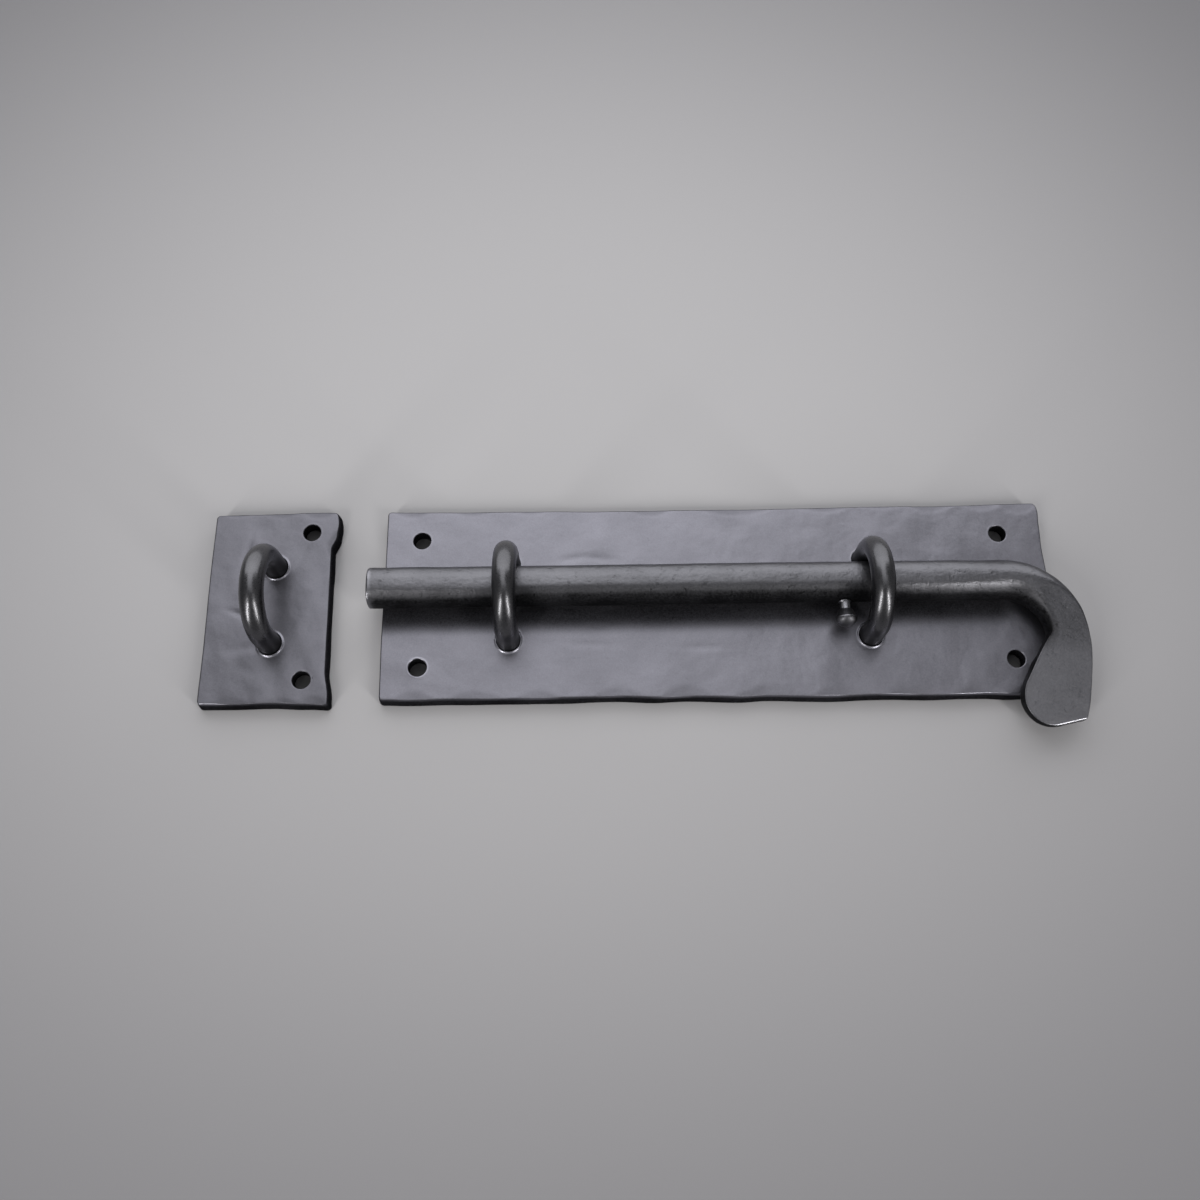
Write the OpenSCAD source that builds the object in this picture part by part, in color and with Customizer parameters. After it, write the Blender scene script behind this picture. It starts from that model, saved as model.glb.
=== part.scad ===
// Hand-forged slide bolt with its keeper, in millimetres.
// The door's face is z = 0, and z points out of the door.
// x runs along the bolt, from the nose to the handle, and y points away from the handle's paddle.
// The origin is the centre of the back plate's four screw holes, on its back face.

/* [Back plate] */
// Length of the back plate along the bolt
plate_l = 213.8; // [190:0.1:320]
// Width of the back plate, across the bolt
plate_w = 63.8; // [56:0.1:90]
// Thickness of the flat bar that both plates are cut from
plate_t = 4.8; // [4:0.1:8]
// Radius of the plates' hammered corners
corner_r = 1.5; // [0.5:0.1:4]

/* [Screw holes] */
// Diameter of every screw hole
screw_hole_d = 5.6; // [3.5:0.1:7]
// Distance from the back plate's nose end to its first screw holes
screw_in_nose = 11.6; // [8:0.1:15]
// Distance from the back plate's handle end to its last screw holes
screw_in_handle = 14; // [8:0.1:15]
// Distance from the back plate's long edges to its screw holes
screw_in_edge = 10.4; // [7:0.1:12]
// Bevel round the front of every screw hole
hole_bevel = 0.3; // [0.1:0.05:0.8]

/* [Staples] */
// Diameter of the round bar of the three staples
staple_bar_d = 7.4; // [6:0.1:9]
// Clear width between the legs of a staple
staple_inside = 18.4; // [17.5:0.1:22]
// Height of the straight legs over the plate
staple_rise = 7.6; // [6:0.1:14]
// Distance from the back plate's nose end to the front staple
front_staple_in = 39.9; // [25:0.1:60]
// Distance from the back plate's handle end to the rear staple
rear_staple_in = 59.1; // [50:0.1:80]
// Gap round a staple leg in its hole
leg_gap = 0.1; // [0.05:0.01:0.2]
// Bevel round a leg's hole on the front of the plate
leg_bevel = 0.5; // [0.2:0.1:1]

/* [Plug welds] */
// Diameter of a plug weld on the back face
weld_d = 11; // [9.6:0.1:13]
// Depth of a plug weld
weld_depth = 2; // [1:0.1:2.6]

/* [Bolt] */
// Diameter of the bolt's bar
bolt_d = 12.7; // [10:0.1:13.4]
// Gap under the bolt as it lies on the plate
bolt_under_gap = 0.3; // [0.2:0.05:0.8]
// Gap between the bolt and the staple legs that it leans towards
bolt_side_gap = 0.35; // [0.3:0.05:1]
// How far the nose stands out past the back plate when the bolt is drawn back
nose_out = 3.5; // [0:0.1:10]
// Bevel round the nose
nose_bevel = 0.7; // [0.3:0.1:2]

/* [Handle] */
// Radius of the bend, at the middle of the bar
bend_r = 18; // [14:0.1:24]
// How far the bend stands out past the back plate's handle end
handle_out = 6.8; // [0:0.1:12]
// Length of the paddle from the end of the bend to its lowest point
paddle_l = 28.7; // [24:0.1:36]
// Radius of the paddle's round lobe
lobe_r = 9; // [7:0.1:12]
// How far the lobe reaches to the nose side of the middle of the bar
lobe_reach = 15.9; // [12:0.1:18]
// Thickness of the paddle at its tip
tip_t = 3.6; // [2.5:0.1:9]
// Radius of the paddle's long outer side
outer_r = 110; // [80:1:200]
// How fast the round bar spreads into the flat paddle, in millimetres a millimetre
shoulder_slope = 0.6; // [0.55:0.05:1.5]
// How far the bottom edge rises from the lobe to the sharp outer corner
corner_rise = 1.9; // [0.5:0.1:4]

/* [Stop pin] */
// Diameter of the stop pin
pin_d = 3; // [2:0.1:4]
// Diameter of the pin's head
pin_head_d = 6.6; // [5:0.1:8]
// Length of pin that shows between the bar and the head
pin_neck = 2.6; // [1.5:0.1:4]
// Height of the cone under the head
pin_cone_h = 3.1; // [2:0.1:4]
// Height of the domed top of the head
pin_dome_h = 2.7; // [1.5:0.1:3.2]
// Depth of the pin's hole in the bar, from the bar's side
pin_sunk = 6; // [3:0.1:8]
// Play between the pin's head and the rear staple when the bolt is drawn back
stop_play = 2; // [1.4:0.1:6]

/* [Keeper] */
// Width of the keeper plate, along the bolt
keeper_l = 40.1; // [36:0.1:60]
// Height of the keeper plate, across the bolt
keeper_w = 64.8; // [62:0.1:90]
// Gap between the keeper plate and the back plate
keeper_gap = 15.7; // [2:0.1:18]
// Distance from the keeper's side next to the back plate to its screw holes
keeper_screw_in = 8.6; // [7:0.1:9]
// Distance from the keeper's upper and lower edges to its screw holes
keeper_screw_edge = 7.45; // [6:0.05:9]
// Distance from the keeper's side next to the back plate to its staple
keeper_staple_in = 19.3; // [17:0.1:22]

/* [Hidden] */
$fn = 96;
cut_over = 1;
screw_span_x = plate_l - screw_in_nose - screw_in_handle;
screw_span_y = plate_w - 2 * screw_in_edge;
keeper_span = keeper_w - 2 * keeper_screw_edge;
plate_x0 = -screw_span_x / 2 - screw_in_nose;
plate_x1 = plate_x0 + plate_l;
keeper_x1 = plate_x0 - keeper_gap;
keeper_x0 = keeper_x1 - keeper_l;
keeper_screw_x = keeper_x1 - keeper_screw_in;
keeper_staple_x = keeper_x1 - keeper_staple_in;
front_staple_x = plate_x0 + front_staple_in;
rear_staple_x = plate_x1 - rear_staple_in;
staple_r = (staple_inside + staple_bar_d) / 2;
bolt_r = bolt_d / 2;
bolt_y = staple_inside / 2 - bolt_r - bolt_side_gap;
bolt_z = plate_t + bolt_under_gap + bolt_r;
nose_x = plate_x0 - nose_out;
handle_x = plate_x1 + handle_out - bolt_r;
bend_x = handle_x - bend_r;
pin_x = rear_staple_x - staple_bar_d / 2 - stop_play - pin_head_d / 2;
handle_drop = bend_r + paddle_l;
arc_steps = 20;

// Outline of the paddle seen from the front, about the middle of the bar at the end of the bend.
// Its outer side is a long arc that starts upright, its lobe is round, and the two straight lines
// from the lobe are tangent to it: one to the inner side of the bar, one to the sharp outer corner.
lobe = [lobe_r - lobe_reach, lobe_r - paddle_l];
corner_drop = paddle_l - corner_rise;
inner_start = [-bolt_r, 0];
outer_corner = [outer_side(corner_drop), -corner_drop];
function outer_side(v) = bolt_r - outer_r + sqrt(outer_r * outer_r - v * v);
function turn_to(p) = atan2(p[1] - lobe[1], p[0] - lobe[0]);
function half_view(p) = acos(lobe_r / norm(p - lobe));
lobe_from = turn_to(outer_corner) - half_view(outer_corner);
lobe_to = turn_to(inner_start) + half_view(inner_start) - 360;
paddle_outline = concat(
    [for (i = [0 : arc_steps]) let (v = corner_drop * i / arc_steps) [outer_side(v), -v]],
    [for (i = [0 : arc_steps]) let (a = lobe_from + (lobe_to - lobe_from) * i / arc_steps)
        lobe + lobe_r * [cos(a), sin(a)]],
    [inner_start]);

// A flat bar with rounded corners, from x0 to x1 and w wide about y = 0
module flat_bar(x0, x1, w) {
    translate([x0, corner_r - w / 2, 0])
        cube([x1 - x0, w - 2 * corner_r, plate_t]);
    translate([x0 + corner_r, -w / 2, 0])
        cube([x1 - x0 - 2 * corner_r, w, plate_t]);
    for (x = [x0 + corner_r, x1 - corner_r], side = [-1, 1])
        translate([x, side * (w / 2 - corner_r), 0])
            cylinder(h = plate_t, r = corner_r);
}

// A through hole with a bevel on the front of the plate
module front_hole(x, y, d, bevel) {
    translate([x, y, -cut_over])
        cylinder(h = plate_t + 2 * cut_over, d = d);
    translate([x, y, plate_t - bevel])
        cylinder(h = bevel + cut_over, d1 = d, d2 = d + 2 * (bevel + cut_over));
}

// The two leg holes of a staple, countersunk on the back for the plug welds
module leg_holes(x) {
    for (side = [-1, 1]) {
        front_hole(x, side * staple_r, staple_bar_d + 2 * leg_gap, leg_bevel);
        translate([x, side * staple_r, 0])
            weld_cone(leg_gap / 2, cut_over);
    }
}

// The cone of a plug weld, wider all round by grow and longer by over past the back face
module weld_cone(grow, over) {
    cylinder(h = weld_depth, d1 = weld_d + 2 * grow, d2 = staple_bar_d + 2 * grow);
    translate([0, 0, -over])
        cylinder(h = over, d = weld_d + 2 * grow);
}

// A staple: two legs that stand on the plug welds and a half-round crown
module staple(x) {
    leg_top = plate_t + staple_rise;
    for (side = [-1, 1])
        translate([x, side * staple_r, weld_depth])
            cylinder(h = leg_top - weld_depth, d = staple_bar_d);
    translate([x, 0, leg_top])
        rotate([90, 0, 90])
            rotate_extrude(angle = 180)
                translate([staple_r, 0])
                    circle(d = staple_bar_d);
}

// The two plug welds of a staple
module plug_welds(x) {
    for (side = [-1, 1])
        translate([x, side * staple_r, 0])
            cylinder(h = weld_depth, d1 = weld_d, d2 = staple_bar_d);
}

module backplate() {
    color([0.30, 0.30, 0.33])
        difference() {
            flat_bar(plate_x0, plate_x1, plate_w);
            for (sx = [-1, 1], sy = [-1, 1])
                front_hole(sx * screw_span_x / 2, sy * screw_span_y / 2, screw_hole_d, hole_bevel);
            leg_holes(front_staple_x);
            leg_holes(rear_staple_x);
        }
}

module keeper_plate() {
    color([0.28, 0.28, 0.31])
        difference() {
            flat_bar(keeper_x0, keeper_x1, keeper_w);
            for (side = [-1, 1])
                front_hole(keeper_screw_x, side * keeper_span / 2, screw_hole_d, hole_bevel);
            leg_holes(keeper_staple_x);
        }
}

module front_staple() {
    color([0.13, 0.13, 0.14])
        staple(front_staple_x);
}

module rear_staple() {
    color([0.13, 0.13, 0.14])
        staple(rear_staple_x);
}

module keeper_staple() {
    color([0.13, 0.13, 0.14])
        staple(keeper_staple_x);
}

module front_staple_welds() {
    color([0.20, 0.20, 0.20])
        plug_welds(front_staple_x);
}

module rear_staple_welds() {
    color([0.20, 0.20, 0.20])
        plug_welds(rear_staple_x);
}

module keeper_staple_welds() {
    color([0.20, 0.20, 0.20])
        plug_welds(keeper_staple_x);
}

// What is left of the bar's height: its underside stays level, and its top slopes down to the tip
module forged_taper() {
    top_back = bolt_d * (handle_drop + bolt_r) / handle_drop - tip_t * bolt_r / handle_drop;
    translate([bend_x - cut_over, 0, 0])
        rotate([90, 0, 90])
            linear_extrude(height = bend_r + bolt_d + lobe_reach)
                polygon([[bolt_r, -bolt_r], [bolt_r, top_back - bolt_r],
                         [-handle_drop - cut_over, tip_t - bolt_r], [-handle_drop - cut_over, -bolt_r]]);
}

module slide_bolt() {
    color([0.17, 0.17, 0.18])
        translate([0, bolt_y, bolt_z])
            difference() {
                union() {
                    translate([nose_x, 0, 0])
                        rotate([0, 90, 0])
                            cylinder(h = nose_bevel, r1 = bolt_r - nose_bevel, r2 = bolt_r);
                    translate([nose_x + nose_bevel, 0, 0])
                        rotate([0, 90, 0])
                            cylinder(h = bend_x - nose_x - nose_bevel, r = bolt_r);
                    intersection() {
                        translate([bend_x, -bend_r, 0])
                            rotate_extrude(angle = 90)
                                translate([bend_r, 0])
                                    circle(r = bolt_r);
                        forged_taper();
                    }
                    intersection() {
                        translate([handle_x, -bend_r, -bolt_r])
                            linear_extrude(height = bolt_d)
                                polygon(paddle_outline);
                        translate([handle_x, -bend_r, 0])
                            rotate([90, 0, 0])
                                cylinder(h = paddle_l, r1 = bolt_r, r2 = bolt_r + paddle_l * shoulder_slope);
                        forged_taper();
                    }
                }
                translate([pin_x, pin_sunk - bolt_r, 0])
                    rotate([90, 0, 0])
                        cylinder(h = bolt_d, d = pin_d);
            }
}

// Half profile of the stop pin, from the bottom of its hole to the top of its domed head
module pin_profile() {
    neck_end = pin_sunk + pin_neck;
    brim = neck_end + pin_cone_h;
    polygon(concat(
        [[0, 0], [pin_d / 2, 0], [pin_d / 2, neck_end], [pin_head_d / 2, brim]],
        [for (i = [1 : arc_steps]) [pin_head_d / 2 * cos(90 * i / arc_steps),
                                    brim + pin_dome_h * sin(90 * i / arc_steps)]]));
}

module stop_pin() {
    color([0.20, 0.20, 0.21])
        translate([pin_x, bolt_y + pin_sunk - bolt_r, bolt_z])
            rotate([90, 0, 0])
                rotate_extrude()
                    pin_profile();
}

backplate();
front_staple();
rear_staple();
front_staple_welds();
rear_staple_welds();
slide_bolt();
stop_pin();
keeper_plate();
keeper_staple();
keeper_staple_welds();
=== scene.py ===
import math

import bpy
import numpy as np
from bpy.props import FloatProperty, FloatVectorProperty, PointerProperty
from bpy.types import Operator, Panel, PropertyGroup
from mathutils import Matrix, Vector


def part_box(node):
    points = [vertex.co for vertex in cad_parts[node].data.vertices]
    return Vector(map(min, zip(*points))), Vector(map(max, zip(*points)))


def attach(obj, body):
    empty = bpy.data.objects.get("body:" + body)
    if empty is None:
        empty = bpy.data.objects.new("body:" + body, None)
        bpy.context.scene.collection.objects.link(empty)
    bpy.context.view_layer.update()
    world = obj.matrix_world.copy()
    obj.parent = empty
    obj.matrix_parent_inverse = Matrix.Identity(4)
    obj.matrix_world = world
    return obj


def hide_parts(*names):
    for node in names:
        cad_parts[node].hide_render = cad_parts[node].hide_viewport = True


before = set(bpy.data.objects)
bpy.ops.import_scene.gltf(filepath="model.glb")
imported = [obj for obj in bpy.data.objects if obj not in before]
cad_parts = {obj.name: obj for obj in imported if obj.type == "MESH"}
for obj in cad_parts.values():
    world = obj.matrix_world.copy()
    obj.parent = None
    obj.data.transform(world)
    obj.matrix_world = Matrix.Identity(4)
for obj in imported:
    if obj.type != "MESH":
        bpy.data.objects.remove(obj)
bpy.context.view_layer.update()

bl_info = {
    "name": "Forged slide bolt",
    "version": (1, 0, 0),
    "blender": (4, 5, 0),
    "location": "3D View > Sidebar > Slide bolt",
    "description": "Hammered plates, staples, slide bolt and keeper on a pale studio floor",
    "category": "Object",
}

# Sizes in millimetres, as in the solids. Blender's own lengths are in metres.
MM = 1000.0
PLATE_SCREWS = [(x, y) for x in (-94.1, 94.1) for y in (-21.5, 21.5)]
KEEPER_SCREWS = [(-130.0, -24.95), (-130.0, 24.95)]
PLATE_T = 4.8
BAR_R = 6.35
BEND_R = 18.0
PADDLE_L = 28.7
TIP_T = 3.6


# ---------------------------------------------------------------- sizes and colours


class PlateLooks(PropertyGroup):
    wave: FloatProperty(
        name="Hammered wave", description="Height of the soft waves that the hammer left on the plates",
        default=0.00009, min=0.0, max=0.0005, precision=5, subtype="DISTANCE", unit="LENGTH")
    mark_slope: FloatProperty(
        name="Edge mark slope", description="How steeply the hammer marks along the long edges fall, as rise over run",
        default=0.10, min=0.0, max=0.3)
    arris: FloatProperty(
        name="Arris radius", description="Radius of the rounded arrises of the plates",
        default=0.00035, min=0.0001, max=0.001, precision=5, subtype="DISTANCE", unit="LENGTH")
    corner: FloatProperty(
        name="Corner radius", description="Radius of the plates' corners, seen from the front",
        default=0.0008, min=0.0005, max=0.004, precision=4, subtype="DISTANCE", unit="LENGTH")
    flare: FloatProperty(
        name="Foot flare", description="How far the foot of the lower side wall stands out past its top arris",
        default=0.0007, min=0.0, max=0.0012, precision=4, subtype="DISTANCE", unit="LENGTH")
    lip: FloatProperty(
        name="Foot lip", description="Height of the lip that the staple legs raised round their holes",
        default=0.0003, min=0.0, max=0.0005, precision=5, subtype="DISTANCE", unit="LENGTH")


class BarLooks(PropertyGroup):
    scale_wave: FloatProperty(
        name="Forge wave", description="Height of the forged unevenness along the bolt",
        default=0.00005, min=0.0, max=0.0004, precision=5, subtype="DISTANCE", unit="LENGTH")
    staple_wave: FloatProperty(
        name="Staple unevenness", description="Unevenness of the bent bars of the staples",
        default=0.000015, min=0.0, max=0.0004, precision=5, subtype="DISTANCE", unit="LENGTH")
    keeper_lean: FloatProperty(
        name="Keeper staple lean", description="How far the crown of the keeper's staple leans away from the bolt",
        default=0.0011, min=0.0, max=0.002, precision=4, subtype="DISTANCE", unit="LENGTH")
    paddle_arris: FloatProperty(
        name="Paddle arris", description="Radius of the arris round the front of the paddle",
        default=0.00045, min=0.0002, max=0.001, precision=5, subtype="DISTANCE", unit="LENGTH")
    paddle_corner: FloatProperty(
        name="Paddle corner", description="Radius of the paddle's outer corner, seen from the front",
        default=0.0007, min=0.0003, max=0.0015, precision=4, subtype="DISTANCE", unit="LENGTH")


class FinishLooks(PropertyGroup):
    plate_colour: FloatVectorProperty(
        name="Plate", description="Colour of the blackened plates", subtype="COLOR", size=3,
        default=(0.158, 0.157, 0.181), min=0.0, max=1.0)
    bar_colour: FloatVectorProperty(
        name="Bolt", description="Colour of the blackened bolt", subtype="COLOR", size=3,
        default=(0.109, 0.109, 0.120), min=0.0, max=1.0)
    staple_colour: FloatVectorProperty(
        name="Staples", description="Colour of the blackened staples", subtype="COLOR", size=3,
        default=(0.086, 0.086, 0.093), min=0.0, max=1.0)
    plate_roughness: FloatProperty(
        name="Plate roughness", description="Roughness of the plates' black finish", default=0.40, min=0.0, max=1.0,
        subtype="FACTOR")
    bar_roughness: FloatProperty(
        name="Bolt roughness", description="Roughness of the bolt's black finish", default=0.36, min=0.0, max=1.0,
        subtype="FACTOR")
    staple_roughness: FloatProperty(
        name="Staple roughness", description="Roughness of the staples' black finish", default=0.29, min=0.0, max=1.0,
        subtype="FACTOR")


class StudioLooks(PropertyGroup):
    lens: FloatProperty(
        name="Lens", description="Focal length of the camera on its 36 mm sensor", default=34.096, min=10.0, max=200.0)
    distance: FloatProperty(
        name="Camera distance", description="Distance from the camera to the point that it looks at",
        default=0.36316, min=0.1, max=3.0, precision=4, subtype="DISTANCE", unit="LENGTH")
    elevation: FloatProperty(
        name="Camera elevation", description="Height of the camera over the horizon", subtype="ANGLE", unit="ROTATION",
        default=math.radians(69.456), min=0.0, max=math.pi / 2)
    softbox: FloatProperty(
        name="Softbox", description="Brightness of the softbox overhead, where it is brightest", default=2.8,
        min=0.0, max=50.0)
    softbox_front: FloatProperty(
        name="Softbox front", description="Brightness of the softbox at its front end, as a share of the brightest",
        default=0.42, min=0.0, max=1.0)
    strip: FloatProperty(
        name="Strip lights", description="Power of each tall strip light in front", default=4.8, min=0.0,
        max=200.0, unit="POWER")
    room: FloatProperty(
        name="Room light", description="Strength of the grey room round the table", default=0.22, min=0.0, max=1.0)
    floor_colour: FloatVectorProperty(
        name="Floor", description="Colour of the pale floor under the object", subtype="COLOR", size=3,
        default=(0.345, 0.341, 0.354), min=0.0, max=1.0)
    # painted light: the floor's colour darkens away from the object
    floor_edge: FloatVectorProperty(
        name="Floor further out", description="Colour of the floor further from the object", subtype="COLOR", size=3,
        default=(0.132, 0.131, 0.140), min=0.0, max=1.0)


def looks():
    """The four groups of sizes and colours of this scene."""
    scene = bpy.context.scene
    return scene.bolt_plate_looks, scene.bolt_bar_looks, scene.bolt_finish_looks, scene.bolt_studio_looks


# ---------------------------------------------------------------- sums on whole arrays, in millimetres


def box_mm(node):
    """Lowest and highest corner of a CAD node, in millimetres."""
    return [np.array(corner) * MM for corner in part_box(node)]


def ease(t):
    """Smooth step from 0 to 1: t squared times (3 - 2 t), with t held between 0 and 1."""
    t = np.clip(t, 0.0, 1.0)
    return t * t * (3.0 - 2.0 * t)


def eased_line(at, knots):
    """Values at positions `at` on a line through the knots (position, value), with an eased step between two knots."""
    places, values = np.array(knots, dtype=float).T
    index = np.clip(np.searchsorted(places, at) - 1, 0, len(places) - 2)
    share = ease((at - places[index]) / (places[index + 1] - places[index]))
    return values[index] + (values[index + 1] - values[index]) * share


def wave_field(x, y, z, length, seed):
    """A smooth random field, mostly between -1 and 1: the sum of cosine waves whose directions, phases and lengths
    (0.7 to 1.5 of `length`) come from the seed, each divided by the root of half their number and by 1.6."""
    count = 20
    pick = np.random.default_rng(seed)
    ways = pick.normal(size=(count, 3))
    ways /= np.linalg.norm(ways, axis=1, keepdims=True)
    ways *= 2 * np.pi / (length * pick.uniform(0.7, 1.5, (count, 1)))
    phases = pick.uniform(0, 2 * np.pi, count)
    total = 0.0
    for way, phase in zip(ways, phases):
        total = total + np.cos(way[0] * x + way[1] * y + way[2] * z + phase)
    return total / math.sqrt(count / 2) / 1.6


def soft_ramp(value, width):
    """0 below 0, value minus half the width above the width, and a parabola that joins them between."""
    held = np.clip(value, 0.0, width)
    return held * held / (2 * width) + np.maximum(value - width, 0.0)


def edge_marks(along, inward, marks, slope):
    """Depth of the hammer marks along an edge. A mark (middle, length, reach) is a lens: it reaches inward to
    reach times (1 - the square of the share of its half length), and falls towards the edge with the slope, after a
    soft start."""
    start = 0.7
    depth = np.zeros_like(inward)
    for middle, length, reach in marks:
        line = reach * (1 - ((along - middle) / (length / 2)) ** 2)
        depth = np.maximum(depth, slope * soft_ramp(line - inward, start))
    return depth


def dents(x, y, rows):
    """Depth of single dents (x, y, half length, half width, turn in degrees, depth): depth times
    e to the power of minus the squared distance, counted in half lengths and half widths."""
    depth = np.zeros_like(x)
    for px, py, long, wide, turn, deep in rows:
        c, s = math.cos(math.radians(turn)), math.sin(math.radians(turn))
        u = ((x - px) * c + (y - py) * s) / long
        v = ((y - py) * c - (x - px) * s) / wide
        depth = depth + deep * np.exp(-u * u - v * v)
    return depth


def ring_quads(first, second):
    """Quads between two closed rings of vertex numbers of the same length."""
    return np.stack([first, second, np.roll(second, -1), np.roll(first, -1)], axis=1)


def tube_quads(rings, around):
    """Quads of a closed tube of `rings` rings with `around` vertices each."""
    numbers = np.arange(rings * around).reshape(rings, around)
    return np.concatenate([ring_quads(a, b) for a, b in zip(numbers, numbers[1:])])


def grid_normals(points):
    """Unit normals of a grid of points that closes on itself along its second axis."""
    along = np.gradient(points, axis=0)
    around = np.roll(points, -1, axis=1) - np.roll(points, 1, axis=1)
    normals = np.cross(around, along)
    return normals / np.maximum(np.linalg.norm(normals, axis=2, keepdims=True), 1e-9)


def shell_volume(points, faces):
    """Signed volume of a closed shell, from arrays of faces: the sum of the fans' corner products over six."""
    total = 0.0
    for face in faces:
        corners = points[face]
        for k in range(1, corners.shape[1] - 1):
            total += np.einsum("ij,ij->", corners[:, 0], np.cross(corners[:, k], corners[:, k + 1]))
    return total / 6


def closed_shell(points, quads, caps=()):
    """The faces of a closed shell as lists, turned outwards where its volume comes out negative."""
    faces = [quads, *[np.asarray(cap)[None] for cap in caps]]
    turn = -1 if shell_volume(points, faces) < 0 else 1
    return [face[::turn] for group in faces for face in group.tolist()]


def tube_shell(points, rings, around):
    """The faces of a tube of rings that a flat cap closes at both ends."""
    ring = np.arange(around)
    return closed_shell(points, tube_quads(rings, around), (ring, (rings - 1) * around + ring[::-1]))


def mesh_object(name, points, faces, material):
    """Makes an object with one mesh, from points in metres and faces, and one material."""
    mesh = bpy.data.meshes.new(name)
    mesh.from_pydata(points, [], faces)
    mesh.materials.append(material)
    made = bpy.data.objects.new(name, mesh)
    bpy.context.collection.objects.link(made)
    return made


def add_piece(name, points, faces, painted_light_and_wear, body, slot, material, *nodes):
    """Makes one piece from points in millimetres, with the attribute `painted_light_and_wear` (above 0 on places of
    wear and painted highlights, 0 on plain faces, and below 0 under painted shade and in the darker hammer marks),
    lets it ride on a body and stand for its CAD nodes."""
    piece = mesh_object(name, (points / MM).tolist(), faces, material)
    wear_and_highlight = piece.data.attributes.new("painted_light_and_wear", "FLOAT", "POINT")
    wear_and_highlight.data.foreach_set("value", np.asarray(painted_light_and_wear, dtype=np.float32))
    piece.data.shade_smooth()
    if piece.data.validate():
        raise RuntimeError(f"{name}: the mesh had faces that Blender doesn't accept")
    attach(piece, body)
    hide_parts(*nodes)
    return piece


# ---------------------------------------------------------------- plates


def grid_lines(low, high, borders, step):
    """Grid lines from low to high: close together near both ends, one on each border, and none further apart
    than the step."""
    near = (0.0, 0.35, 0.8, 1.3, 1.9, 2.6)
    fixed = sorted({round(v, 4) for v in [*borders, *(low + d for d in near), *(high - d for d in near)]})
    lines = [fixed[:1]]
    for a, b in zip(fixed, fixed[1:]):
        lines.append(np.linspace(a, b, max(1, math.ceil((b - a) / step)) + 1)[1:])
    return np.concatenate(lines)


def rounded_corners(x, y, low, high, radius):
    """Bends a rectangle's grid to round corners: in each corner square of the radius, shares a and b of the way
    out become a times the root of (1 - b b / 2), and b times the root of (1 - a a / 2)."""
    middle, half = (low + high) / 2, (high - low) / 2
    a = np.clip((np.abs(x - middle[0]) - half[0] + radius) / radius, 0, 1)
    b = np.clip((np.abs(y - middle[1]) - half[1] + radius) / radius, 0, 1)
    dx = a * (np.sqrt(1 - b * b / 2) - 1) * radius
    dy = b * (np.sqrt(1 - a * a / 2) - 1) * radius
    return x + np.sign(x - middle[0]) * dx, y + np.sign(y - middle[1]) * dy


def string_rings(skin, first, last, rings, ring_light_and_wear, turn):
    """Adds rings of points and their painted light and wear to a skin (points, quads, painted_light_and_wear), strung
    from one loop of its vertex numbers to another. With turn -1 the quads face the other way."""
    points, quads, painted_light_and_wear = skin
    size, start = len(first), sum(len(part) for part in points)
    loops = [first, *(start + np.arange(len(rings) * size).reshape(-1, size)), last]
    quads += [ring_quads(*pair[::turn]) for pair in zip(loops, loops[1:])]
    points += rings
    painted_light_and_wear += [np.broadcast_to(wear, size) for wear in ring_light_and_wear]


def side_rings(rim, arris, flare, right_flare):
    """The rings of a plate's side, from the front's rim to its back: a quarter-round arris, a wall that stands out
    further towards its foot, below and by a share on the right, and bulges a little, and an arris at the back. Gives
    the rings and their painted light and wear: stretches of the lower arris are lighter, partly wear and partly a
    painted highlight, the other arrises are darkened as painted shade, and the wall carries painted shade."""
    back_arris, bulge, unevenness = 0.4, 0.12, 0.12
    way = np.roll(rim[:, :2], -1, axis=0) - np.roll(rim[:, :2], 1, axis=0)
    out = np.stack([way[:, 1], -way[:, 0]], axis=1)
    out /= np.linalg.norm(out, axis=1, keepdims=True)
    stand = flare * (np.clip(-out[:, 1], 0, 1) + right_flare * np.clip(out[:, 0], 0, 1))
    stand = stand + unevenness * wave_field(rim[:, 0], rim[:, 1], 0, 14, 5)
    # lighter stretches of the lower arris: partly wear, partly a painted highlight
    arris_highlight = np.clip(1.6 * wave_field(rim[:, 0], rim[:, 1], 0, 16, 6) - 0.2, -0.4, 1)
    front_edge = rim[:, 2] - arris
    rings, ring_light_and_wear = [], []
    for turn in np.radians((20, 42, 66, 90)):
        rings.append(np.column_stack([rim[:, :2] + out * arris * math.sin(turn),
                                      rim[:, 2] - arris * (1 - math.cos(turn))]))
        # the lower arris gets those stretches; the other arrises are darkened as painted shade
        ring_light_and_wear.append(np.where(out[:, 1] < -0.5, arris_highlight, -0.8))
    for share in (0.25, 0.5, 0.75, 1.0):
        shift = arris + stand * share + bulge * math.sin(math.pi * share)
        rings.append(np.column_stack([rim[:, :2] + out * shift[:, None],
                                      front_edge * (1 - share) + back_arris * share]))
        # the side wall: painted shade
        ring_light_and_wear.append(-1.0)
    for turn in np.radians((35, 70)):
        shift = (arris + stand) - back_arris * (1 - math.cos(turn))
        rings.append(np.column_stack([rim[:, :2] + out * shift[:, None],
                                      np.full(len(rim), back_arris * (1 - math.sin(turn)))]))
        ring_light_and_wear.append(-1.0)
    return rings, ring_light_and_wear


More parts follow.
